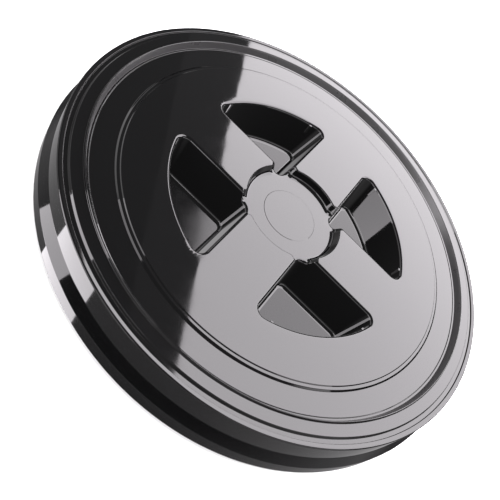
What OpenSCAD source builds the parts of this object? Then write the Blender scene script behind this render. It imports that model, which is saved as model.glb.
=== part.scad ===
// Two-piece screw-top lid for a 300 mm pail: a ring that snaps over the pail's rim
// and a threaded centre lid with four grip pockets. Millimetres, +Z up. The origin is
// on the axis, at the foot of the ring's threaded collar.

/* [Ring outside] */
// Height of the ring's top edge above the foot of the collar
rim_z = 36.2; // [36:0.1:37]
// Outside radius of the ring at its top edge
rim_r = 157.6; // [157:0.1:158.5]
// Outside radius of the skirt where it starts to flare
waist_r = 157.9; // [157.9:0.1:158.8]
// Outside radius of the skirt at its foot
foot_r = 162; // [161.5:0.1:163]
// Drop from the top edge to the start of the flare
waist_drop = 14.8; // [14:0.1:15.5]
// Drop from the top edge to the end of the flare
flare_drop = 22.3; // [22:0.1:24]
// Drop from the top edge to the foot of the skirt
skirt_drop = 32.65; // [30:0.05:34]
// Wall thickness of the skirt and the top of the ring
ring_wall = 2.2; // [1.8:0.1:2.4]

/* [Ring top] */
// Height of the thin lip round the top edge
lip_h = 0.95; // [0.5:0.05:1.2]
// Inner radius of the lip
lip_in_r = 154.1; // [153.8:0.1:154.6]
// Depth of the shallow groove inside the lip
groove_drop = 0.25; // [0.1:0.05:0.5]
// Outer radius of the flat land inside the groove
land_out_r = 151.5; // [151:0.1:152]
// Height of the flat land above the top edge
land_h = 1.65; // [1.2:0.05:2]
// Outer radius of the raised bead inside the land
bead_out_r = 143.4; // [143.2:0.1:144]
// Height of the bead above the top edge
bead_h = 3.26; // [2.8:0.02:3.6]
// Inner radius of the bead
bead_in_r = 141; // [140.8:0.1:141.2]

/* [Ring inside] */
// Inner radius of the well that holds the lid's flange
well_r = 139.2; // [139.1:0.1:139.4]
// Drop from the top edge to the ledge that the seal presses on
ledge_drop = 7.4; // [7:0.1:8]
// Inner radius of the threaded collar
collar_r = 128.6; // [128.4:0.1:129]
// Wall thickness of the collar
collar_wall = 2.8; // [2.4:0.1:3.2]
// Outer radius of the wall that plugs the pail's mouth
plug_r = 141.7; // [141.5:0.1:142]
// Drop from the top edge to the foot of the plug wall
plug_drop = 18; // [16:0.5:20]
// Number of snap hooks round the skirt
hook_count = 12; // [8:1:16]
// Reach of the snap hooks, as the radius of their tips
hook_r = 151.3; // [151:0.1:152]
// Drop from the top edge to the catching face of the hooks
hook_drop = 13.2; // [12.5:0.1:13.5]
// Number of ribs that centre the pail's rim
centring_ribs = 36; // [24:12:48]

/* [Screw lid] */
// Radius of the lid's flange
flange_r = 138.9; // [138.6:0.1:138.9]
// Drop from the ring's top edge to the face of the flange
flange_drop = 2; // [1.6:0.1:2.4]
// Drop from the ring's top edge to the raised disc
disc_drop = 0.3; // [0:0.1:0.6]
// Radius of the raised disc at its top
disc_r = 123.1; // [122.8:0.1:123.4]
// Radius of the raised disc at its foot
disc_foot_r = 124.4; // [124:0.1:124.6]
// Wall thickness of the lid
lid_wall = 2.4; // [2:0.1:2.6]
// Radius of the round dish in the middle, at its edge
dish_r = 36.9; // [36:0.1:38]
// Radius of the dish floor
dish_floor_r = 34.6; // [34:0.1:35]
// Depth of the dish below the disc
dish_depth = 6.7; // [5:0.1:7]
// Radius of the fine ring in the dish floor
gate_r = 19.8; // [18:0.1:22]

/* [Grip pockets] */
// Half the width of the four arms between the pockets
arm_half = 21.6; // [21:0.1:22]
// Radius of the pockets' outer walls
pocket_r = 89.7; // [88:0.1:90]
// Depth of the pockets below the disc
pocket_depth = 33.2; // [30:0.1:33.4]
// Corner radius of the pockets
pocket_corner = 6; // [5:0.5:7]
// How far each side wall leans in over the whole depth
side_lean = 4.2; // [3:0.1:4.5]
// How far the outer wall leans in over the whole depth
arc_lean = 2.2; // [1.5:0.1:3]
// Radius of the rounded edge round each pocket's mouth
mouth_round = 1.8; // [1.2:0.1:2]
// Radius of the rounded edge round each pocket's floor
floor_round = 2.6; // [2:0.1:3]
// Wall thickness of the pockets
pocket_wall = 2.1; // [1.8:0.1:2.2]

/* [Thread] */
// Rise of the thread in one turn
thread_lead = 6; // [6:0.5:6.5]
// Turns of thread on each piece
thread_turns = 1.5; // [1:0.25:1.5]
// Outer radius of the lid's threaded skirt
screw_r = 124.8; // [124.6:0.1:125]
// Height of each thread ridge above its wall
thread_h = 2.6; // [2.2:0.1:2.6]
// Width of a thread ridge at its root
thread_root = 3; // [2.8:0.1:3]
// Width of a thread ridge at its crest
thread_crest = 1.6; // [1.4:0.1:1.6]
// Clearance between the loaded flanks of the two threads
flank_gap = 0.35; // [0.3:0.05:0.5]
// Height of the middle of the ring's thread at its lower end
ring_thread_z = 15.5; // [15:0.5:16]

/* [Seals] */
// Inner radius of the lid's seal
lid_seal_in_r = 132.3; // [132.2:0.1:132.6]
// Outer radius of the lid's seal
lid_seal_out_r = 136.5; // [136:0.1:136.6]
// Inner radius of the seal on the pail's rim
rim_seal_in_r = 144.2; // [144:0.1:145]
// Outer radius of the seal on the pail's rim
rim_seal_out_r = 149.6; // [149:0.1:150]
// Thickness of the seal on the pail's rim
rim_seal_h = 3.6; // [3:0.1:4]

/* [Hidden] */
$fn = 96;
ring_colour = "#1c1c1f";
lid_colour = "#1e1e21";
seal_colour = "#2b2b2b";

// Heights
ledge_z = rim_z - ledge_drop;
groove_z = rim_z - groove_drop;
land_z = rim_z + land_h;
skirt_foot_z = rim_z - skirt_drop;
catch_z = rim_z - hook_drop;
disc_z = rim_z - disc_drop;
flange_z = rim_z - flange_drop;
flange_under_z = flange_z - lid_wall;
shoulder_z = flange_z;
under_z = disc_z - lid_wall;
dish_z = disc_z - dish_depth;
pocket_z = disc_z - pocket_depth;
screw_foot_z = 8;

// Top wall of the ring, whose underside is lower under the groove than under the land
top_wall = 2.4;
roof_z = land_z - top_wall;
outer_roof_z = groove_z - top_wall;
roof_step_r = land_out_r - 1;
// Gusset in the corner under the bead, between the plug wall and the top
gusset = [2.2, 3];

// Slopes, bevels and roundings of the ring
foot_round = 0.7;
plug_lead = [0.8, 2];
lip_slope = 1.3;
groove_corner = 0.2;
land_slope = 0.8;
land_bevel = 0.5;

// Hooks and centring ribs
hook_gap = 14;
hook_tip = 0.7;
hook_nose_h = 2.6;
hook_lead_h = 5.4;
hook_foot = 1;
centring_rib_w = 1.4;
centring_rib_in_r = hook_r + 0.9;

// Small features of the lid
gate_groove = 0.25;
dish_foot_round = 1;
dish_edge_round = 0.8;
edge_step_w = 2.4;
edge_step_h = 0.4;
flange_bevel = 0.4;
seal_rib_w = 1.2;
seal_rib_h = 1.8;
seal_gap = 0.1;
screw_wall = 2.6;
screw_bevel = 0.6;
block_bevel = 1.6;
lid_rib_w = 1.8;
lid_rib_h = 7;

// How far a feature is sunk into the wall that carries it
embed = 0.8;
// How the threads are divided, and over how many steps they run out
steps_per_turn = 72;
ramp_steps = 6;

// Points along an arc about c with radius r from angle a0 to a1
function arc(c, r, a0, a1, n) =
    [for (i = [0:n]) let (a = a0 + (a1 - a0) * i / n) c + r * [cos(a), sin(a)]];

// ---- Ring ---------------------------------------------------------------------------

module ring_section() {
    bead = (bead_out_r - bead_in_r) / 2;
    foot_in_r = foot_r - ring_wall;
    polygon(concat(
        [[collar_r, 0], [collar_r + collar_wall, 0],
         [collar_r + collar_wall, ledge_z - ring_wall],
         [plug_r - ring_wall, ledge_z - ring_wall],
         [plug_r - ring_wall, rim_z - plug_drop],
         [plug_r - plug_lead[0], rim_z - plug_drop],
         [plug_r, rim_z - plug_drop + plug_lead[1]],
         [plug_r, roof_z - gusset[1]], [plug_r + gusset[0], roof_z],
         [roof_step_r, roof_z], [roof_step_r, outer_roof_z],
         [rim_r - ring_wall, outer_roof_z],
         [waist_r - ring_wall, rim_z - waist_drop - foot_round],
         [foot_in_r, rim_z - flare_drop - foot_round]],
        arc([foot_in_r + foot_round, skirt_foot_z + foot_round], foot_round, 180, 270, 4),
        arc([foot_r - foot_round, skirt_foot_z + foot_round], foot_round, 270, 360, 4),
        [[foot_r, rim_z - flare_drop], [waist_r, rim_z - waist_drop]],
        arc([rim_r - lip_h, rim_z], lip_h, 0, 90, 5),
        [[lip_in_r + groove_corner + lip_slope, rim_z + lip_h],
         [lip_in_r + groove_corner, groove_z + groove_corner], [lip_in_r, groove_z],
         [land_out_r, groove_z], [land_out_r - land_slope, land_z - land_bevel],
         [land_out_r - land_slope - land_bevel, land_z], [bead_out_r, land_z]],
        arc([bead_in_r + bead, rim_z + bead_h - bead], bead, 10, 170, 8),
        [[bead_in_r, shoulder_z], [well_r, shoulder_z], [well_r, ledge_z],
         [collar_r, ledge_z]]));
}

// Section of the hooks that catch under the pail's rolled rim: a flat catching face over a
// sloping lead-in, sunk into the skirt's wall
module hook_section() {
    wall_r = waist_r - ring_wall;
    polygon([[hook_r, catch_z - hook_tip], [hook_r + hook_tip, catch_z],
             [wall_r + embed, catch_z], [wall_r + embed, catch_z - hook_nose_h - embed],
             [wall_r + 2 * hook_foot, catch_z - hook_lead_h],
             [wall_r + hook_foot, catch_z - hook_lead_h],
             [hook_r + 2 * hook_tip, catch_z - hook_nose_h]]);
}

// A full turn of the hook section, cut into separate hooks
module hooks() {
    cut = [2 * (foot_r - hook_r), hook_gap, 4 * hook_lead_h];
    difference() {
        rotate_extrude($fn = 144) hook_section();
        for (i = [0:hook_count - 1])
            rotate(i * 360 / hook_count)
                translate([waist_r - cut[0] / 2, -cut[1] / 2, catch_z - cut[2] / 2]) cube(cut);
    }
}

module centring_rib() {
    foot_z = catch_z + 1;
    translate([centring_rib_in_r, -centring_rib_w / 2, foot_z])
        cube([rim_r - ring_wall + embed - centring_rib_in_r, centring_rib_w,
              outer_roof_z + embed - foot_z]);
}

// ---- Thread -------------------------------------------------------------------------

// One ridge that climbs round the axis: it stands on radius `wall_r` and reaches `reach`
// outwards, or inwards where `reach` is negative, and runs out at both ends
module thread_ridge(wall_r, reach, start_z) {
    steps = round(thread_turns * steps_per_turn);
    side = sign(reach);
    points = [for (i = [0:steps])
        let (a = 360 * i / steps_per_turn, z = start_z + thread_lead * i / steps_per_turn,
             fade = min(1, (min(i, steps - i) + 0.5) / ramp_steps),
             top_r = wall_r + reach * fade, root_r = wall_r - side * embed,
             root = thread_root / 2, crest = root + (thread_crest / 2 - root) * fade)
        each [[root_r, z - root], [top_r, z - crest], [top_r, z + crest], [root_r, z + root]]
            * [[cos(a), sin(a), 0], [0, 0, 1]]];
    skin = [for (i = [0:steps - 1], k = [0:3])
        let (p = 4 * i + k, q = 4 * i + (k + 1) % 4) each [[p, q + 4, q], [p, p + 4, q + 4]]];
    ends = [[0, 1, 2, 3], [for (k = [3:-1:0]) 4 * steps + k]];
    faces = concat(skin, ends);
    polyhedron(points, side < 0 ? faces : [for (f = faces) [for (k = [len(f) - 1:-1:0]) f[k]]],
               convexity = 6);
}

module adapter_ring() {
    color(ring_colour) union() {
        rotate_extrude($fn = 144) ring_section();
        hooks();
        for (i = [0:centring_ribs - 1]) rotate((i + 0.5) * 360 / centring_ribs) centring_rib();
        thread_ridge(collar_r, -thread_h, ring_thread_z);
    }
}

// ---- Seals --------------------------------------------------------------------------

// Flat on top with a rounded foot that ends in a narrow flat land
module seal_section(in_r, out_r, low_z, high_z) {
    curl = min((out_r - in_r) / 2 - 0.6, high_z - low_z - 0.8);
    polygon(concat(
        [[in_r, high_z]],
        arc([in_r + curl, low_z + curl], curl, 180, 270, 5),
        arc([out_r - curl, low_z + curl], curl, 270, 360, 5),
        [[out_r, high_z]]));
}

module rim_gasket() {
    color(seal_colour) rotate_extrude($fn = 144)
        seal_section(rim_seal_in_r, rim_seal_out_r, roof_z - rim_seal_h, roof_z);
}

module lid_gasket() {
    color(seal_colour) rotate_extrude($fn = 144)
        seal_section(lid_seal_in_r, lid_seal_out_r, ledge_z, flange_under_z);
}

// ---- Screw lid ----------------------------------------------------------------------

module lid_section() {
    rib_z = flange_under_z - seal_rib_h;
    seat_in_r = lid_seal_in_r - seal_gap;
    seat_out_r = lid_seal_out_r + seal_gap;
    screw_in_r = screw_r - screw_wall;
    foot = dish_foot_round;
    edge = dish_edge_round;
    polygon(concat(
        [[0, dish_z], [gate_r - gate_groove, dish_z], [gate_r, dish_z - gate_groove],
         [gate_r + gate_groove, dish_z]],
        arc([dish_floor_r - foot, dish_z + foot], foot, 270, 340, 3),
        arc([dish_r + edge, disc_z - edge], edge, 160, 90, 3),
        [[disc_r - edge_step_w, disc_z], [disc_r - edge_step_w + edge_step_h, disc_z - edge_step_h],
         [disc_r, disc_z - edge_step_h], [disc_foot_r, flange_z],
         [flange_r - flange_bevel, flange_z], [flange_r, flange_z - flange_bevel],
         [flange_r, flange_under_z],
         [seat_out_r + seal_rib_w, flange_under_z], [seat_out_r + seal_rib_w, rib_z],
         [seat_out_r, rib_z], [seat_out_r, flange_under_z],
         [seat_in_r, flange_under_z], [seat_in_r, rib_z],
         [seat_in_r - seal_rib_w, rib_z], [seat_in_r - seal_rib_w, flange_under_z],
         [screw_r, flange_under_z], [screw_r, screw_foot_z + screw_bevel],
         [screw_r - screw_bevel, screw_foot_z], [screw_in_r, screw_foot_z],
         [screw_in_r, under_z], [dish_r + lid_wall, under_z],
         [dish_floor_r + lid_wall, dish_z - lid_wall], [0, dish_z - lid_wall]]));
}

// Outline of one pocket: two straight sides at `side` from the axes and an arc of radius
// `out_r`, with all three corners rounded
function pocket_outline(side, out_r, corner) =
    let (far = sqrt(pow(out_r - corner, 2) - pow(side + corner, 2)),
         turn = atan2(side + corner, far), step = 4)
    concat(
        arc([side + corner, side + corner], corner, 180, 270, 5),
        arc([far, side + corner], corner, -90, turn, 6),
        arc([0, 0], out_r, turn + step, 90 - turn - step, 9),
        arc([side + corner, far], corner, 90 - turn, 180, 6));

// Loft through outlines: each level is [height, inset of the sides, inset of the arc]
module pocket_loft(levels, corner) {
    rings = [for (l = levels)
        [for (p = pocket_outline(arm_half + l[1], pocket_r - l[2], corner)) [p[0], p[1], l[0]]]];
    n = len(rings[0]);
    last = len(levels) - 1;
    skin = [for (i = [0:last - 1], k = [0:n - 1])
        let (p = n * i + k, q = n * i + (k + 1) % n) each [[p, q + n, p + n], [p, q, q + n]]];
    polyhedron([for (r = rings) each r],
               concat(skin, [[for (k = [n - 1:-1:0]) k],
                             [for (k = [0:n - 1]) n * last + k]]), convexity = 4);
}

// Lean of a pocket wall at a depth below the disc, as [sides, arc]
function lean(depth) = depth / pocket_depth * [side_lean, arc_lean];

// The hollow of one pocket, with a rounded mouth and a rounded floor
module pocket_hollow() {
    mouth = [for (a = [90, 60, 30, 0])
        let (depth = mouth_round * (1 - sin(a)), flare = mouth_round * (1 - cos(a)),
             l = lean(depth)) [disc_z - depth, l[0] - flare, l[1] - flare]];
    floor_edge = [for (a = [0, 30, 60, 90])
        let (depth = pocket_depth - floor_round * (1 - sin(a)),
             draw = floor_round * (1 - cos(a)), l = lean(depth))
        [disc_z - depth, l[0] + draw, l[1] + draw]];
    top = [disc_z + 1, mouth[0][1], mouth[0][2]];
    pocket_loft(concat([top], mouth, floor_edge), pocket_corner);
}

// The solid round one pocket, which the hollow is taken out of
module pocket_block() {
    t = pocket_wall;
    inset = t - block_bevel;
    low = lean(pocket_depth);
    pocket_loft([[disc_z - lid_wall / 2, -t, -t],
                 [pocket_z - inset, low[0] - t, low[1] - t],
                 [pocket_z - t, low[0] - inset, low[1] - inset]],
                pocket_corner + t);
}

// Stiffening ribs under the disc, from the pockets out to the threaded skirt
module lid_rib() {
    start = pocket_r - pocket_wall / 2;
    end = screw_r - screw_wall + embed;
    translate([start, -lid_rib_w / 2, under_z - lid_rib_h])
        cube([end - start, lid_rib_w, lid_rib_h + lid_wall / 2]);
}

module screw_lid() {
    quarters = [0:3];
    ribs = [for (i = [0:7]) i * 45 + 22.5];
    color(lid_colour) difference() {
        union() {
            rotate_extrude($fn = 144) lid_section();
            for (i = quarters) rotate(i * 90) pocket_block();
            for (a = ribs) rotate(a) lid_rib();
            thread_ridge(screw_r, thread_h, ring_thread_z
                         - (thread_root + thread_crest) / 2 - flank_gap);
        }
        for (i = quarters) rotate(i * 90) pocket_hollow();
    }
}

adapter_ring();
rim_gasket();
lid_gasket();
screw_lid();
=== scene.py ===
import math

import bmesh
import bpy
import numpy as np
from mathutils import Matrix, Vector
from mathutils.geometry import delaunay_2d_cdt


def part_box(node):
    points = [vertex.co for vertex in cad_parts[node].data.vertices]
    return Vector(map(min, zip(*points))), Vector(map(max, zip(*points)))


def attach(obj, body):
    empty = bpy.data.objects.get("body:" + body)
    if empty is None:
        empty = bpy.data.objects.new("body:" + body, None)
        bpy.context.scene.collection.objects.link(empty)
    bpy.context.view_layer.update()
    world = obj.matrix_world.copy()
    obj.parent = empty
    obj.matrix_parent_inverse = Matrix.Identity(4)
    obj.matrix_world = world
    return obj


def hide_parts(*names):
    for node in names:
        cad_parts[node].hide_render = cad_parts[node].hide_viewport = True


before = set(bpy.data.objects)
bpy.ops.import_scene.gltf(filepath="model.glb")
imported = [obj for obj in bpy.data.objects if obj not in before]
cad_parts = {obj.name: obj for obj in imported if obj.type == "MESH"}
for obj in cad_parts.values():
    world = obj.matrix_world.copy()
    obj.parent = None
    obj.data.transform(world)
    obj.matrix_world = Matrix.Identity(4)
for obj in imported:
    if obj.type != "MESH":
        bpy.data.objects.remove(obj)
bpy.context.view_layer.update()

# A black screw-top pail lid: a ring that snaps over the pail, a threaded centre lid with four
# grip pockets, and two rubber seals. Sizes of the object are in millimetres, in the frame's own
# axes. Sizes of the studio are in metres.

MM = 0.001


def node_box(node):
    """Lowest and highest corner of a CAD node, in millimetres."""
    low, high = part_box(node)
    return low / MM, high / MM


_, ring_high = node_box("adapter_ring")
lid_low, lid_high = node_box("screw_lid")
rim_seal_low, rim_seal_high = node_box("rim_gasket")
lid_seal_low, lid_seal_high = node_box("lid_gasket")

# Ring, heights. The bands of the skirt hang from the rim, and the bead stands above it. Inside,
# the skirt's corners lie `inside_drop` lower than outside.
bead_z = ring_high.z
rim_z = bead_z - 3.26
lip_z = rim_z + 0.95
lip_foot_z = rim_z + 0.65
groove_z = rim_z - 0.25
land_z = rim_z + 1.65
bead_wall_z = land_z + 0.4
ledge_z = lid_seal_low.z
roof_z = rim_seal_high.z
roof_side_z = roof_z - 3
top_under_z = rim_z - 2.6
catch_z = rim_z - 13.2
waist_z = rim_z - 14.8
plug_lead_z = rim_z - 16
plug_foot_z = rim_z - 18
foot_top_z = rim_z - 22.3
skirt_foot_z = rim_z - 32.65
inside_drop = 0.6

# Ring, radii, from the skirt inwards
ring_wall = 2.2
foot_r = ring_high.x
foot_top_r = foot_r - 0.1
waist_r = foot_r - 4.1
rim_r = foot_r - 4.4
lip_in_r = rim_r - 1.2
lip_foot_r = rim_r - 3.2
groove_out_r = rim_r - 3.5
groove_in_r = rim_r - 6.1
land_out_r = rim_r - 6.9
hook_r = 151.3
channel_out_r = hook_r - 0.8
rim_seal_in_r = 144.2
bead_out_r = 143.4
bead_top_out_r = 142.9
bead_top_in_r = 142.3
bead_wall_r = 141.8
bead_foot_r = 140.6
plug_r = 141.7
channel_in_r = plug_r + 2.2
plug_lead_r = plug_r - 0.8
plug_in_r = plug_r - ring_wall
well_r = 139.2
collar_r = 128.6
collar_out_r = collar_r + 2.8

# The wall between the bead's top and the well, which is satin and painted lighter as a painted
# reflection: its radii, and the upward part of a face's normal that is too much for a wall
painted_sheen_in_r = 139.4
painted_sheen_out_r = 142.2
painted_sheen_normal_z = 0.6

# Hooks and ribs inside the skirt, with angles in degrees
hook_count = 12
hook_half_angle = 12.3
ring_rib_count = 36
ring_rib_half = 0.7
ring_rib_in_r = hook_r + 0.9
ring_rib_out_r = rim_r - 1.4
ring_rib_foot_z = catch_z + 1
rib_taper = 0.15

# Screw lid, heights
lid_wall = 2.4
disc_z = lid_high.z
disc_under_z = disc_z - lid_wall
step_z = disc_z - 0.6
dish_z = disc_z - 6.7
dish_under_z = dish_z - lid_wall
gate_z = dish_z + 0.15
flange_under_z = lid_seal_high.z
flange_z = flange_under_z + 2.4
seat_rib_z = flange_under_z - 1.8
screw_foot_z = 8.0

# Grip pockets. Four arms, `arm_half` to each side of their middle, cross between them. Each
# pocket has a straight side along two of the arms and an arc of radius `pocket_r`, and its walls
# lean inwards towards its floor.
arm_half = 21.6
pocket_r = 89.7
pocket_wall = 2.1
pocket_floor_z = lid_low.z + pocket_wall
pocket_depth = disc_z - pocket_floor_z
pocket_corner = 6.0
side_lean = 4.2
arc_lean = 2.2
mouth_round = 1.8
floor_round = 2.6
mouth_under_round = 1.0
floor_under_round = 2.4

# Screw lid, radii, from the middle outwards
gate_r = 19.7
gate_foot_r = 19.95
dish_floor_r = 34.5
dish_rim_r = 36.5
dish_under_floor_r = 36.4
dish_under_rim_r = 39.1
sheet_r = 118.0
step_in_r = 120.6
step_out_r = 121.2
disc_edge_r = 122.9
disc_foot_r = 124.1
screw_r = 124.8
screw_in_r = screw_r - 2.6
lid_seal_in_r = 132.3
seat_in_r = lid_seal_high.x - 4.3
seat_out_r = lid_seal_high.x + 0.1
seat_rib = 1.2
flange_r = 138.9
lid_rib_count = 8
lid_rib_half = 0.9
lid_rib_in_r = pocket_r - 1
lid_rib_out_r = screw_r - 1.5
lid_rib_foot_z = disc_under_z - 7
lid_rib_top_z = disc_z - lid_wall / 2

# Beside each pocket the dish's wall turns outwards: over the last `flare_width` of the arm, by
# up to `flare_reach`, and only within `flare_end_r` of the axis.
flare_width = 3.2
flare_reach = 2.2
flare_end_r = 46.0

# Threads. A ridge is `thread_half` to each side of its middle at the wall, and narrower at its
# crest. It rises over `thread_ramp` steps at each end.
thread_lead = 6.0
thread_turns = 1.5
thread_reach = 2.6
thread_half = 1.5
thread_embed = 0.7
thread_ramp = 12
crest_slope = 0.7
crest_round = 0.35
shoulder_slope = 0.55
shoulder_share = 0.8
ring_thread_z = 15.5
lid_thread_z = ring_thread_z - 2.65

# Seals: the rounding of the back's edges, the flat left in the middle of the foot, to each side,
# and the least straight part of a side
seal_edge = 0.25
seal_foot_half = 0.6
seal_side = 0.8

# How finely the meshes are divided. A circle has TURN_STEPS from FULL_CIRCLE_R outwards. Only
# the first SIDE_LENGTH of a pocket's side, next to its inner corner, is divided finely.
TURN_STEPS = 360
FULL_CIRCLE_R = 36
MIN_CIRCLE_STEPS = 24
ARM_ARC_STEPS = 119
THREAD_STEPS = 144
HOOK_STEPS = 24
SIDE_LENGTH = 6.0
SIDE_STEPS = 24
FAR_SIDE_STEPS = 8
INNER_CORNER_STEPS = 24
OUTER_CORNER_STEPS = 18
POCKET_ARC_STEPS = 40
MOUTH_ANGLES = (90, 72, 54, 36, 18, 4)
FLOOR_ANGLES = (0, 18, 36, 54, 72, 90)
EXTRA_RADII = [14.0, 27.0, 95.0, 102.0, 110.0]

# The dish's wall lies between these radii, and the pockets' mouths cross it
WALL_LOW_R = 30
WALL_HIGH_R = 45

# How near a mouth's point is to a circle that passes through it, and how far inside the mouths
# a whole circle stays, in millimetres
ON_CIRCLE = 0.03
CLEAR_OF_MOUTH = 0.05

# Passes in which a point and what it depends on settle
MOUTH_PASSES = 4
FLARE_PASSES = 80


# ---- Outlines -----------------------------------------------------------------------


def arc(centre, radius, start, end, steps):
    """Points on an arc, with angles in degrees."""
    return [(centre[0] + radius * math.cos(math.radians(a)),
             centre[1] + radius * math.sin(math.radians(a)))
            for a in np.linspace(start, end, steps + 1)]


def rounded(points, closed=False, steps=6):
    """The line through (r, z, corner radius) points, with its corners turned into arcs."""
    line = []
    count = len(points)
    for i, (r, z, radius) in enumerate(points):
        here = Vector((r, z))
        end_point = not closed and i in (0, count - 1)
        if radius == 0 or end_point:
            line.append((r, z))
            continue
        back = (Vector(points[i - 1][:2]) - here).normalized()
        ahead = (Vector(points[(i + 1) % count][:2]) - here).normalized()
        half = back.angle(ahead) / 2
        centre = here + (back + ahead).normalized() * radius / math.sin(half)
        first = here + back * radius / math.tan(half) - centre
        last = here + ahead * radius / math.tan(half) - centre
        start = math.atan2(first.y, first.x)
        sweep = (math.atan2(last.y, last.x) - start + math.pi) % (2 * math.pi) - math.pi
        line += [(centre.x + radius * math.cos(start + sweep * k / steps),
                  centre.y + radius * math.sin(start + sweep * k / steps))
                 for k in range(steps + 1)]
    return line


# ---- Meshes -------------------------------------------------------------------------


def add_to_scene(name, data):
    thing = bpy.data.objects.new(name, data)
    bpy.context.scene.collection.objects.link(thing)
    return thing


class Shell:
    """Vertices and faces gathered from several parts, in millimetres."""

    def __init__(self):
        self.points = []
        self.faces = []

    def add(self, points, faces):
        start = len(self.points)
        self.points += [tuple(float(c) for c in p) for p in points]
        self.faces += [tuple(start + i for i in face) for face in faces]

    def rows(self, rows, close_rows=False, close_columns=False):
        """Quads between neighbouring rows of points."""
        across, count = len(rows[0]), len(rows)
        faces = []
        for i in range(count if close_rows else count - 1):
            near, far = i * across, (i + 1) % count * across
            for k in range(across if close_columns else across - 1):
                after = (k + 1) % across
                faces.append((near + k, near + after, far + after, far + k))
        self.add([p for row in rows for p in row], faces)

    def tube(self, rows):
        """Rows of points that each close on themselves, with a flat face at both ends."""
        first = len(self.points)
        self.rows(rows, close_columns=True)
        around = len(rows[0])
        last = first + (len(rows) - 1) * around
        self.faces.append(tuple(first + k for k in range(around)))
        self.faces.append(tuple(last + k for k in reversed(range(around))))

    def turned(self, outline, closed=True):
        """An (r, z) outline turned once round the axis."""
        turns = np.radians(np.arange(TURN_STEPS) * 360 / TURN_STEPS)
        rows = [[(r * math.cos(a), r * math.sin(a), z) for a in turns] for r, z in outline]
        self.rows(rows, close_rows=closed, close_columns=True)

    def sector(self, outline, start, end, steps):
        """An (r, z) outline turned through part of a circle, with flat ends."""
        turns = np.radians(np.linspace(start, end, steps + 1))
        self.tube([[(r * math.cos(a), r * math.sin(a), z) for r, z in outline] for a in turns])

    def mesh(self, name, material, sharp_angle=32):
        """An object with smooth faces, and normals that large faces keep flat."""
        data = bpy.data.meshes.new(name)
        data.from_pydata([tuple(c * MM for c in p) for p in self.points], [], self.faces)
        piece = add_to_scene(name, data)
        clean(data)
        data.shade_smooth()
        data.set_sharp_from_angle(angle=math.radians(sharp_angle))
        weigh = piece.modifiers.new("even_normals", "WEIGHTED_NORMAL")
        weigh.mode = "FACE_AREA"
        weigh.weight = 50
        weigh.keep_sharp = True
        data.materials.append(material)
        return piece


def clean(data):
    """Joins points that meet, and turns every face outwards."""
    work = bmesh.new()
    work.from_mesh(data)
    bmesh.ops.remove_doubles(work, verts=work.verts, dist=2e-6)
    bmesh.ops.recalc_face_normals(work, faces=work.faces)
    work.to_mesh(data)
    work.free()


def block(shell, low, high, angle, taper):
    """A rib: a box in millimetres, turned about the axis, narrower by `taper` at its foot."""
    turn = Matrix.Rotation(math.radians(angle), 3, "Z")
    corners = []
    for z, inset in ((low[2], taper), (high[2], 0.0)):
        for x, y in ((low[0], low[1] + inset), (high[0], low[1] + inset),
                     (high[0], high[1] - inset), (low[0], high[1] - inset)):
            corners.append(turn @ Vector((x, y, z)))
    shell.add(corners, [(3, 2, 1, 0), (4, 5, 6, 7), (0, 1, 5, 4), (1, 2, 6, 5),
                        (2, 3, 7, 6), (3, 0, 4, 7)])


def thread_section(wall_r, reach, fade):
    """A ridge's section about its middle, where it stands at `fade` of its full reach."""
    root = wall_r - math.copysign(thread_embed, reach)
    near = wall_r + reach * fade * shoulder_share
    top = wall_r + reach * fade
    shoulder = thread_half - shoulder_slope * fade
    crest = thread_half - crest_slope * fade - crest_round
    return [(root, -thread_half), (wall_r, -thread_half), (near, -shoulder), (top, -crest),
            (top, crest), (near, shoulder), (wall_r, thread_half), (root, thread_half)]


def thread(shell, wall_r, reach, start_z):
    """A ridge with rounded edges that climbs round the axis and runs out at both ends."""
    steps = round(thread_turns * THREAD_STEPS)
    rows = []
    for i in range(steps + 1):
        turn = 2 * math.pi * i / THREAD_STEPS
        fade = min(1.0, (min(i, steps - i) + 0.5) / thread_ramp)
        middle = start_z + thread_lead * i / THREAD_STEPS
        rows.append([(r * math.cos(turn), r * math.sin(turn), middle + z)
                     for r, z in thread_section(wall_r, reach, fade)])
    shell.tube(rows)


def paint_faces(piece, material, chosen):
    """Gives the faces that `chosen` picks, by centre and normal, a material of their own. Both
    uses paint light or shade: shade on the pockets' floors, a reflection on the bead's inner
    wall.
    """
    piece.data.materials.append(material)
    for face in piece.data.polygons:
        if chosen(face.center / MM, face.normal):
            face.material_index = 1


def is_pocket_floor(centre, normal):
    """Is the face part of a pocket's level floor?"""
    return abs(centre.z - pocket_floor_z) < 0.01 and normal.z > 0.99


def is_bead_wall(centre, normal):
    """Is the face on the wall between the bead's top and the well?"""
    inward = normal.xy.dot(centre.xy) < 0
    beside_bead = painted_sheen_in_r < centre.xy.length < painted_sheen_out_r
    return inward and beside_bead and centre.z > flange_z and normal.z < painted_sheen_normal_z


# ---- Ring ---------------------------------------------------------------------------


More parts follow.
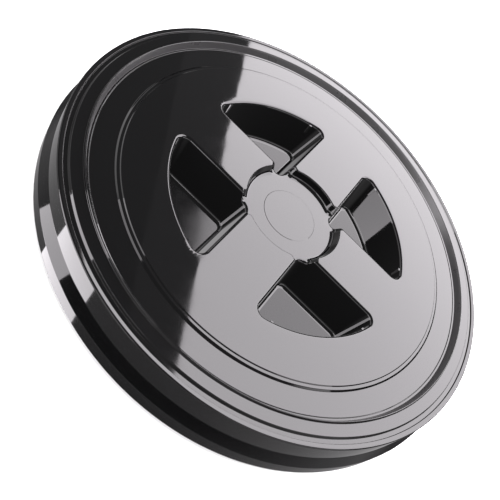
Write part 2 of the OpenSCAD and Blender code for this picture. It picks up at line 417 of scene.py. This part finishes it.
def ring_outline():
    """The ring's section, from the foot of the collar outwards and back over the top."""
    ledge_under_z = ledge_z - ring_wall
    collar = [(collar_r, 0, 0.9), (collar_out_r, 0, 0.9), (collar_out_r, ledge_under_z, 1)]
    plug = [(plug_in_r, ledge_under_z, 1), (plug_in_r, plug_foot_z, 0.5),
            (plug_lead_r, plug_foot_z, 0.5), (plug_r, plug_lead_z, 1.5),
            (plug_r, roof_side_z, 1)]
    channel = [(channel_in_r, roof_z, 0.2), (channel_out_r, roof_z, 0.4),
               (channel_out_r, top_under_z, 0.4)]
    skirt_inside = [(rim_r - ring_wall, top_under_z, 1),
                    (waist_r - ring_wall, waist_z - inside_drop, 4),
                    (foot_top_r - ring_wall, foot_top_z - inside_drop, 4),
                    (foot_r - ring_wall, skirt_foot_z, 0.6)]
    skirt = [(foot_r, skirt_foot_z, 0.8), (foot_top_r, foot_top_z, 1.6),
             (waist_r, waist_z, 1.6)]
    lip = [(rim_r, lip_z, 0.9), (lip_in_r, lip_z, 0.8), (lip_foot_r, lip_foot_z, 0.3)]
    groove = [(groove_out_r, groove_z, 0.15), (groove_in_r, groove_z, 0.3),
              (land_out_r, land_z, 0.5)]
    bead = [(bead_out_r, land_z, 0.4), (bead_top_out_r, bead_z, 0.6),
            (bead_top_in_r, bead_z, 0.5), (bead_wall_r, bead_wall_z, 1.2),
            (bead_foot_r, flange_z, 0.2)]
    well = [(well_r, flange_z, 0.3), (well_r, ledge_z, 0.5), (collar_r, ledge_z, 0.9)]
    return rounded(collar + plug + channel + skirt_inside + skirt + lip + groove + bead + well,
                   closed=True)


def hook_section():
    """A hook's section: a tip that catches under the pail's rim, and a root in the skirt."""
    tip = [(hook_r, catch_z - 0.8), (hook_r + 0.6, catch_z)]
    root_r = waist_r - 1.4
    root = [(root_r, catch_z), (root_r, catch_z - 3.4), (waist_r - 0.2, catch_z - 5.4)]
    slope = [(waist_r - 1.2, catch_z - 5.2), (hook_r + 1.4, catch_z - 2.6)]
    return tip + root + slope


def make_ring(material):
    shell = Shell()
    shell.turned(ring_outline())
    for i in range(hook_count):
        middle = (i + 0.5) * 360 / hook_count
        shell.sector(hook_section(), middle - hook_half_angle, middle + hook_half_angle,
                     HOOK_STEPS)
    rib_low = (ring_rib_in_r, -ring_rib_half, ring_rib_foot_z)
    rib_high = (ring_rib_out_r, ring_rib_half, rim_z - ring_wall)
    for i in range(ring_rib_count):
        block(shell, rib_low, rib_high, (i + 0.5) * 360 / ring_rib_count, rib_taper)
    thread(shell, collar_r, -thread_reach, ring_thread_z)
    return shell.mesh("ring_shell", material)


# ---- Screw lid ----------------------------------------------------------------------

top_outline = rounded([
    (0, gate_z, 0), (gate_r, gate_z, 0.1), (gate_foot_r, dish_z, 0.1),
    (dish_floor_r, dish_z, 3.0), (dish_rim_r, disc_z, 1.0), (sheet_r, disc_z, 0)])

under_outline = rounded([
    (0, dish_under_z, 0), (dish_under_floor_r, dish_under_z, 3.0),
    (dish_under_rim_r, disc_under_z, 1.5), (sheet_r, disc_under_z, 0)])


def edge_outline():
    """The lid's section outside the pockets: the disc's edge, flange, seal's seat and skirt."""
    disc = [(sheet_r, disc_z, 0), (step_in_r, disc_z, 0.15), (step_out_r, step_z, 0.15),
            (disc_edge_r, step_z, 0.8), (disc_foot_r, flange_z, 0.7)]
    flange = [(flange_r, flange_z, 0.3), (flange_r, flange_under_z, 0.2)]
    outer_rib = [(seat_out_r + seat_rib, flange_under_z, 0.2),
                 (seat_out_r + seat_rib, seat_rib_z, 0.3),
                 (seat_out_r, seat_rib_z, 0.3), (seat_out_r, flange_under_z, 0.2)]
    inner_rib = [(seat_in_r, flange_under_z, 0.2), (seat_in_r, seat_rib_z, 0.3),
                 (seat_in_r - seat_rib, seat_rib_z, 0.3),
                 (seat_in_r - seat_rib, flange_under_z, 0.3)]
    skirt = [(screw_r, flange_under_z, 0.8), (screw_r, screw_foot_z, 0.8),
             (screw_in_r, screw_foot_z, 0.8), (screw_in_r, disc_under_z, 1.5),
             (sheet_r, disc_under_z, 0)]
    return rounded(disc + flange + outer_rib + inner_rib + skirt)


def corner_flare(x, y):
    """How far the dish's wall turns outwards at a point beside a pocket."""
    across = min(abs(x), abs(y))
    beside = 1 - (arm_half - mouth_round - across) / flare_width
    return flare_reach * min(max(beside, 0.0), 1.0) ** 2


def outline_radius(x, y):
    """The radius on the turned outline whose height a point takes."""
    r = math.hypot(x, y)
    return r - corner_flare(x, y) if r < flare_end_r else r


def plan_point(radius, angle):
    """The point at an angle, in radians, that takes its height from a radius of the outline."""
    r = radius
    if radius < flare_end_r - flare_reach:
        for _ in range(FLARE_PASSES):
            r = radius + corner_flare(r * math.cos(angle), r * math.sin(angle))
    return (r * math.cos(angle), r * math.sin(angle), 0)


def height_along(outline):
    """Height as a function of a point's place, seen from above."""
    radii = [p[0] for p in outline]
    heights = [p[1] for p in outline]
    return lambda p: float(np.interp(outline_radius(p.x, p.y), radii, heights))


def bend(centre, radius, start, end, steps):
    """Points on an arc with their outward normals."""
    normals = arc((0, 0), 1, start, end, steps)
    return list(zip(arc(centre, radius, start, end, steps), normals))


def traced_outline(depth, thickness):
    """The outline of the pocket between +X and +Y, from its inner corner round to its sides.

    It is the moulding's upper side where thickness is 0, and its underside where thickness is
    the wall's."""
    side = arm_half + side_lean * depth / pocket_depth - thickness
    arc_r = pocket_r - arc_lean * depth / pocket_depth + thickness
    corner = pocket_corner + thickness
    middle = side + corner
    far = math.sqrt((arc_r - corner) ** 2 - middle ** 2)
    turn = math.degrees(math.atan2(middle, far))
    near_side = [middle + SIDE_LENGTH * k / SIDE_STEPS for k in range(1, SIDE_STEPS + 1)]
    far_side = list(np.linspace(middle + SIDE_LENGTH, far, FAR_SIDE_STEPS + 1))[1:-1]
    bottom = [((x, side), (0.0, -1.0)) for x in near_side + far_side]
    left = [((p[1], p[0]), (-1.0, 0.0)) for p, _ in reversed(bottom)]
    return (bend((middle, middle), corner, 180, 270, INNER_CORNER_STEPS) + bottom
            + bend((far, middle), corner, -90, turn, OUTER_CORNER_STEPS)
            + bend((0, 0), arc_r, turn, 90 - turn, POCKET_ARC_STEPS)[1:-1]
            + bend((middle, far), corner, 90 - turn, 180, OUTER_CORNER_STEPS) + left)


outline_cache = {}


def pocket_outline(depth, thickness):
    """One pocket's outline at a depth below the disc, as points and outward normals."""
    key = (round(depth, 2), thickness)
    if key not in outline_cache:
        outline_cache[key] = traced_outline(*key)
    return outline_cache[key]


def outline_points(depths, thickness, flare, places):
    """Points at fractional `places` along the outline, each at its depth, moved by `flare`."""
    found = []
    for place, depth in zip(places, depths):
        line = pocket_outline(depth, thickness)
        i = int(place) % len(line)
        part = place - int(place)
        (p, m), (q, n) = line[i], line[(i + 1) % len(line)]
        normal = Vector(m).lerp(Vector(n), part).normalized()
        found.append(Vector(p).lerp(Vector(q), part) + normal * flare)
    return found


def mouth_loop(base, thickness, radius, angle, places):
    """The loop round a mouth where its rounded edge has turned by 90 - angle degrees."""
    drop = radius * (1 - math.sin(math.radians(angle)))
    flare = radius * (1 - math.cos(math.radians(angle)))
    depths = [drop] * len(places)
    for _ in range(MOUTH_PASSES):
        points = outline_points(depths, thickness, flare, places)
        heights = [base(p) - drop for p in points]
        depths = [disc_z - z for z in heights]
    return [(p.x, p.y, z) for p, z in zip(points, heights)]


def floor_loop(floor_z, thickness, radius, angle, places):
    """The loop where the round between a pocket's wall and floor has turned by an angle."""
    z = floor_z + radius * (1 - math.sin(math.radians(angle)))
    draw = radius * (1 - math.cos(math.radians(angle)))
    points = outline_points([disc_z - z] * len(places), thickness, -draw, places)
    return [(p.x, p.y, z) for p in points]


def crossing_places(rim, crossings):
    """Places along a mouth where it crosses the given radii of the outline."""
    reach = [outline_radius(p[0], p[1]) for p in rim]
    places = []
    for r in crossings:
        for i, a in enumerate(reach):
            b = reach[(i + 1) % len(reach)]
            if (a - r) * (b - r) < 0:
                places.append(i + (r - a) / (b - a))
    return places


def pocket_loops(base, crossings, thickness, mouth_r, floor_z, floor_r):
    """Loops from a pocket's mouth to its floor, with a point at each crossing of the mouth."""
    places = [float(i) for i in range(len(pocket_outline(0.0, thickness)))]
    rim = mouth_loop(base, thickness, mouth_r, 90, places)
    places = sorted(places + crossing_places(rim, crossings))
    return ([mouth_loop(base, thickness, mouth_r, a, places) for a in MOUTH_ANGLES]
            + [floor_loop(floor_z, thickness, floor_r, a, places) for a in FLOOR_ANGLES])


def quarter_turned(points, quarter):
    """Points turned about the axis by a number of quarter turns."""
    turn = Matrix.Rotation(quarter * math.pi / 2, 3, "Z")
    return [tuple(turn @ Vector(p)) for p in points]


class Plan:
    """Points and edges in the plane that the triangles between the pockets keep to."""

    def __init__(self):
        self.points = []
        self.edges = []

    def line(self, new, closed):
        first = len(self.points)
        last = first + len(new) - 1
        self.points += [Vector((p[0], p[1])) for p in new]
        self.edges += [(i, i + 1) for i in range(first, last)]
        if closed:
            self.edges.append((last, first))

    def circle(self, radius, steps):
        turns = np.arange(steps) * 2 * math.pi / steps
        self.line([(radius * math.cos(a), radius * math.sin(a)) for a in turns], True)


def circle_steps(radius, outer):
    """Fewer steps for a small circle inside the mouths, always a multiple of four."""
    if radius > outer:
        return TURN_STEPS
    share = min(1.0, radius / FULL_CIRCLE_R)
    return max(MIN_CIRCLE_STEPS, int(TURN_STEPS * share / 4) * 4)


def add_arcs(plan, radius, rim, reach):
    """Lines across the four arms, from mouth to mouth, at one radius of the outline."""
    nearest = np.argsort(abs(reach - radius))[:8]
    ends = [rim[i] for i in nearest if abs(reach[i] - radius) < ON_CIRCLE]
    if len(ends) < 2:
        return
    angles = [math.atan2(p[1], p[0]) for p in ends]
    low, high = min(angles), max(angles) - math.pi / 2
    start = ends[int(np.argmax(angles))]
    stop = ends[int(np.argmin(angles))]
    middle = [plan_point(radius, a) for a in np.linspace(high, low, ARM_ARC_STEPS + 1)[1:-1]]
    for quarter in range(4):
        line = quarter_turned([start], 3) + middle + [stop]
        plan.line(quarter_turned(line, quarter), False)


def in_pocket(point, rim):
    """Is the point inside the mouth loop of one of the pockets?"""
    x, y = abs(point.x), abs(point.y)
    if point.x * point.y < 0:
        x, y = y, x
    inside = False
    for (ax, ay, _), (bx, by, _) in zip(rim, rim[1:] + rim[:1]):
        if (ay > y) != (by > y) and x < (bx - ax) * (y - ay) / (by - ay) + ax:
            inside = not inside
    return inside


def sheet(shell, outline, rim):
    """The face between the pockets: triangles that follow the outline's height."""
    plan = Plan()
    for quarter in range(4):
        plan.line(quarter_turned(rim, quarter), True)
    reach = np.array([outline_radius(p[0], p[1]) for p in rim])
    for r in sorted({round(r, 4) for r, _ in outline if r > 0}) + EXTRA_RADII:
        if r < reach.min() - CLEAR_OF_MOUTH or r > reach.max():
            plan.circle(r, circle_steps(r, reach.max()))
        else:
            add_arcs(plan, r, rim, reach)
    placed, _, faces, *_ = delaunay_2d_cdt(plan.points, plan.edges, [], 0, 1e-4)
    kept = []
    for face in faces:
        centre = sum((placed[i] for i in face), Vector((0, 0))) / len(face)
        if not in_pocket(centre, rim):
            kept.append(face)
    base = height_along(outline)
    shell.add([(p.x, p.y, base(p)) for p in placed], kept)


def add_side(shell, outline, thickness, mouth_r, floor_z, floor_r):
    """One side of the plate with its four pockets: the upper side, or the underside's shells."""
    dish_wall = [r for r, _ in outline if WALL_LOW_R < r < WALL_HIGH_R]
    loops = pocket_loops(height_along(outline), dish_wall, thickness, mouth_r, floor_z, floor_r)
    around = len(loops[0])
    for quarter in range(4):
        last = len(shell.points) + (len(loops) - 1) * around
        shell.rows([quarter_turned(loop, quarter) for loop in loops], close_columns=True)
        shell.faces.append(tuple(last + k for k in range(around)))
    sheet(shell, outline, loops[0])


def make_lid(material):
    shell = Shell()
    add_side(shell, top_outline, 0.0, mouth_round, pocket_floor_z, floor_round)
    add_side(shell, under_outline, pocket_wall, mouth_under_round, lid_low.z, floor_under_round)
    shell.turned(edge_outline(), closed=False)
    rib_low = (lid_rib_in_r, -lid_rib_half, lid_rib_foot_z)
    rib_high = (lid_rib_out_r, lid_rib_half, lid_rib_top_z)
    for i in range(lid_rib_count):
        block(shell, rib_low, rib_high, (i + 0.5) * 360 / lid_rib_count, rib_taper)
    thread(shell, screw_r, thread_reach, lid_thread_z)
    return shell.mesh("screw_lid_shell", material)


# ---- Seals --------------------------------------------------------------------------


def make_seal(name, low, high, in_r, material):
    """A seal with a flat back and a rounded foot."""
    out_r = high.x
    curl = min((out_r - in_r) / 2 - seal_foot_half, high.z - low.z - seal_side)
    outline = rounded([(in_r, high.z, seal_edge), (in_r, low.z, curl), (out_r, low.z, curl),
                       (out_r, high.z, seal_edge)], closed=True)
    shell = Shell()
    shell.turned(outline)
    return shell.mesh(name, material)


# ---- Materials ----------------------------------------------------------------------


def new_material(name):
    """A material with its node tree and its main shader."""
    material = bpy.data.materials.new(name)
    material.use_nodes = True
    tree = material.node_tree
    return material, tree, tree.nodes["Principled BSDF"]


def noise(tree, scale, detail):
    """A noise texture in object space, with `scale` features to the metre."""
    coords = tree.nodes.new("ShaderNodeTexCoord")
    texture = tree.nodes.new("ShaderNodeTexNoise")
    texture.inputs["Scale"].default_value = scale
    texture.inputs["Detail"].default_value = detail
    tree.links.new(coords.outputs["Object"], texture.inputs["Vector"])
    return texture.outputs["Fac"]


def spread(tree, value, low, high):
    """Maps a noise value, which is mostly 0.3 to 0.7, onto a range."""
    node = tree.nodes.new("ShaderNodeMapRange")
    node.inputs["From Min"].default_value = 0.3
    node.inputs["From Max"].default_value = 0.7
    node.inputs["To Min"].default_value = low
    node.inputs["To Max"].default_value = high
    tree.links.new(value, node.inputs["Value"])
    return node.outputs["Result"]


def bump(tree, height, strength, distance):
    """A bump node whose relief is at most `distance` metres."""
    node = tree.nodes.new("ShaderNodeBump")
    node.inputs["Strength"].default_value = strength
    node.inputs["Distance"].default_value = distance
    tree.links.new(height, node.inputs["Height"])
    return node


def gloss_plastic(name, colour, rough, ior=1.52):
    """Moulded black plastic with a fine haze, shallow sinks and a fine skin."""
    material, tree, shader = new_material(name)
    shader.inputs["Base Color"].default_value = (*colour, 1)
    shader.inputs["IOR"].default_value = ior
    haze = noise(tree, scale=60, detail=4)
    tree.links.new(spread(tree, haze, rough[0], rough[1]), shader.inputs["Roughness"])
    sink = bump(tree, noise(tree, scale=22, detail=1), strength=0.25, distance=0.0004)
    skin = bump(tree, noise(tree, scale=900, detail=2), strength=0.02, distance=0.00002)
    tree.links.new(sink.outputs["Normal"], skin.inputs["Normal"])
    tree.links.new(skin.outputs["Normal"], shader.inputs["Normal"])
    return material


def rubber(name, colour):
    """Soft matt seal rubber with a fine grain."""
    material, tree, shader = new_material(name)
    shader.inputs["Base Color"].default_value = (*colour, 1)
    dullness = noise(tree, scale=300, detail=5)
    tree.links.new(spread(tree, dullness, 0.55, 0.8), shader.inputs["Roughness"])
    grain = bump(tree, noise(tree, scale=1800, detail=3), strength=0.3, distance=0.00005)
    tree.links.new(grain.outputs["Normal"], shader.inputs["Normal"])
    return material


# The ring and the lid are polished. The pockets' level floors are duller and reflect less, which
# paints shade into them, and the bead's inner wall is satin and lighter in colour, which paints
# a reflection onto it.
polished_black = (0.0012, 0.0012, 0.0013)
polish = (0.03, 0.06)
ring_plastic = gloss_plastic("ring_plastic", polished_black, polish)
lid_plastic = gloss_plastic("lid_plastic", polished_black, polish)
painted_shade_floor_plastic = gloss_plastic("painted_shade_floor_plastic", (0.002, 0.002, 0.0022), (0.08, 0.14), ior=1.35)
painted_sheen_satin_plastic = gloss_plastic("painted_sheen_satin_plastic", (0.022, 0.021, 0.022), (0.26, 0.34))
seal_rubber = rubber("seal_rubber", (0.02, 0.02, 0.02))


# ---- Pieces -------------------------------------------------------------------------

ring = make_ring(ring_plastic)
# The bead's inner wall gets a lighter satin plastic: a painted reflection.
paint_faces(ring, painted_sheen_satin_plastic, is_bead_wall)
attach(ring, "ring")
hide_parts("adapter_ring")

rim_seal = make_seal("rim_seal", rim_seal_low, rim_seal_high, rim_seal_in_r, seal_rubber)
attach(rim_seal, "ring")
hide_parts("rim_gasket")

lid_seal = make_seal("lid_seal", lid_seal_low, lid_seal_high, lid_seal_in_r, seal_rubber)
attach(lid_seal, "seal")
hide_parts("lid_gasket")

lid = make_lid(lid_plastic)
# The pockets' level floors get a plastic that reflects less: painted shade.
paint_faces(lid, painted_shade_floor_plastic, is_pocket_floor)
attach(lid, "lid")
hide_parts("screw_lid")

# The polished pieces mirror neither themselves nor each other, only the surroundings.
for piece in (ring, lid):
    piece.visible_glossy = False


# ---- Studio -------------------------------------------------------------------------

floor_half = 6.0
floor_grey = 0.88

# Camera: in front of the lid and 45 degrees above it, with its frame rolled
camera_place = Vector((-0.01273, -0.3262, 0.3213))
camera_right = Vector((0.71524, 0.49514, 0.49322))
camera_up = Vector((-0.69851, 0.52953, 0.48133))
camera_lens = 46.8
camera_sensor = 36

# The camera's mirror image in the disc. What the disc shows is seen from there.
mirror_point = Vector((camera_place.x, camera_place.y, 2 * disc_z * MM - camera_place.z))

# The key light stands behind the lid. One side of it lies in a plane through the mirror point,
# and ends the bright part of the disc in a straight line.
edge_normal = Vector((0.851, 0.415, -0.322)).normalized()
key_middle = Vector((0.03, 0.75, 0.66))
key_toward = (key_middle - edge_normal * key_middle.dot(edge_normal)).normalized()
edge_along = edge_normal.cross(key_toward).normalized()
key_far = 1.6
key_tall = 2.6
key_shift = 0.35
light_colour = (1.0, 0.96, 1.0)

# The flag is a curved wall round the mirror point that hides the foot of the key light. Its
# ends and the rise of its top are in degrees, as seen from that point.
flag_r = 1.3
flag_start = 5
flag_end = 128
flag_rise = 29.5
flag_foot = -0.12
flag_top = mirror_point.z + flag_r * math.tan(math.radians(flag_rise))

# How bright the surroundings look in reflections, from straight down at 0, over the horizon at
# 0.5, to straight up at 1: two dim bands below the horizon, a bright one above it, and a dim
# sky. The skirt and the pockets' walls show them.
fill_level = 2.0
mirrored_tint = (1, 0.98, 1, 1)
mirrored_levels = [(0.06, 0.15), (0.12, 0.42), (0.18, 0.4), (0.22, 0.1), (0.28, 0.1),
                   (0.32, 0.45), (0.36, 0.42), (0.44, 0.06), (0.48, 0.06),
                   (0.53, 1.6), (0.71, 1.6), (0.74, 0.2)]


def placed_axes(place, right, up):
    """A matrix with its origin at a place, +X to the right, +Y up and +Z out of both."""
    turn = Matrix((right, up, right.cross(up))).transposed().to_4x4()
    return Matrix.Translation(place) @ turn


def direction(azimuth, elevation):
    """A unit vector, with angles in degrees and azimuth 0 along +X."""
    a, e = math.radians(azimuth), math.radians(elevation)
    return Vector((math.cos(a) * math.cos(e), math.sin(a) * math.cos(e), math.sin(e)))


def add_floor():
    """A plain pale floor that reflections leave out."""
    material, _, shader = new_material("studio_floor")
    shader.inputs["Base Color"].default_value = (floor_grey, floor_grey, floor_grey, 1)
    shader.inputs["Roughness"].default_value = 0.9
    shader.inputs["Specular IOR Level"].default_value = 0.0
    data = bpy.data.meshes.new("studio_floor")
    corners = [(-floor_half, -floor_half, 0), (floor_half, -floor_half, 0),
               (floor_half, floor_half, 0), (-floor_half, floor_half, 0)]
    data.from_pydata(corners, [], [(0, 1, 2, 3)])
    data.materials.append(material)
    floor = add_to_scene("studio_floor", data)
    floor.visible_glossy = False


def add_camera():
    data = bpy.data.cameras.new("camera")
    data.sensor_width = camera_sensor
    data.lens = camera_lens
    camera = add_to_scene("camera", data)
    camera.matrix_world = placed_axes(camera_place, camera_right, camera_up)
    bpy.context.scene.camera = camera


def softbox(name, size, place, toward, up, radiance):
    """An area light of a given radiance at a place. It shines against the way `toward`."""
    light = bpy.data.lights.new(name, "AREA")
    light.shape = "RECTANGLE"
    light.size, light.size_y = size
    light.color = light_colour
    light.energy = radiance * math.pi * size[0] * size[1]
    lamp = add_to_scene(name, light)
    side = up.cross(toward).normalized()
    lamp.matrix_world = placed_axes(place, side, toward.cross(side))
    lamp.visible_camera = False


def card(name, azimuth, elevation, distance, size, radiance):
    """A softbox that stands in a direction from the lid and faces it."""
    toward = direction(azimuth, elevation)
    softbox(name, size, toward * distance, toward, Vector((0, 0, 1)), radiance)


def key_card(name, start, width, radiance):
    """A softbox in the key light's plane, whose left side lies `start` beyond its edge."""
    place = (mirror_point + key_toward * key_far + edge_normal * (start + width / 2)
             + edge_along * key_shift)
    softbox(name, (width, key_tall), place, key_toward, edge_along, radiance)


def add_flag():
    """A curved black wall, seen only in reflections, that ends the light behind the lid."""
    turns = np.radians(np.linspace(flag_start, flag_end, 49))
    shell = Shell()
    shell.rows([[((mirror_point.x + flag_r * math.cos(a)) / MM,
                  (mirror_point.y + flag_r * math.sin(a)) / MM, z / MM) for a in turns]
                for z in (flag_foot, flag_top)])
    black, _, shader = new_material("studio_flag")
    shader.inputs["Base Color"].default_value = (0, 0, 0, 1)
    shader.inputs["Specular IOR Level"].default_value = 0.0
    wall = shell.mesh("studio_flag", black)
    wall.visible_camera = False
    wall.visible_diffuse = False
    wall.visible_shadow = False


def mirrored_strength(tree):
    """The level of the surroundings in reflections, by the height of the direction."""
    coords = tree.nodes.new("ShaderNodeTexCoord")
    parts = tree.nodes.new("ShaderNodeSeparateXYZ")
    tree.links.new(coords.outputs["Generated"], parts.inputs["Vector"])
    height = tree.nodes.new("ShaderNodeMapRange")
    height.inputs["From Min"].default_value = -1.0
    tree.links.new(parts.outputs["Z"], height.inputs["Value"])
    ramp = tree.nodes.new("ShaderNodeValToRGB")
    stops = ramp.color_ramp.elements
    while len(stops) < len(mirrored_levels):
        stops.new(0.5)
    for stop, (place, level) in zip(stops, mirrored_levels):
        stop.position = place
        stop.color = (level, level, level, 1)
    tree.links.new(height.outputs["Result"], ramp.inputs["Fac"])
    return ramp.outputs["Color"]


def add_world():
    """An even white fill for the floor, and banded surroundings for reflections."""
    world = bpy.data.worlds.new("studio")
    world.use_nodes = True
    tree = world.node_tree
    fill = tree.nodes["Background"]
    fill.inputs["Color"].default_value = (1, 1, 1, 1)
    fill.inputs["Strength"].default_value = fill_level
    mirrored = tree.nodes.new("ShaderNodeBackground")
    mirrored.inputs["Color"].default_value = mirrored_tint
    tree.links.new(mirrored_strength(tree), mirrored.inputs["Strength"])
    path = tree.nodes.new("ShaderNodeLightPath")
    choose = tree.nodes.new("ShaderNodeMixShader")
    tree.links.new(path.outputs["Is Glossy Ray"], choose.inputs["Fac"])
    tree.links.new(fill.outputs["Background"], choose.inputs[1])
    tree.links.new(mirrored.outputs["Background"], choose.inputs[2])
    tree.links.new(choose.outputs["Shader"], tree.nodes["World Output"].inputs["Surface"])
    bpy.context.scene.world = world


add_floor()
add_camera()
key_card("key_softbox", start=0, width=3.4, radiance=7.9)
key_card("key_spill", start=-0.145, width=0.14, radiance=0.08)

# Name, azimuth and elevation in degrees, distance, size and radiance. The four left strips
# stand one above another, and show as bright patches on the left of the skirt.
card("left_strip_foot", 214, -56, 1.2, (0.46, 0.87), 5.0)
card("left_strip_low", 215, -28, 1.2, (0.58, 0.46), 4.0)
card("left_strip_middle", 215, 0, 1.2, (0.58, 0.73), 6.0)
card("left_strip_high", 215, 29, 1.2, (0.58, 0.5), 3.0)
card("front_softbox", 244, 22, 1.5, (0.9, 0.4), 4.0)
card("right_softbox", 335, 14, 1.5, (2.0, 0.7), 0.7)
add_flag()
add_world()
bpy.context.scene.view_settings.view_transform = "Standard"
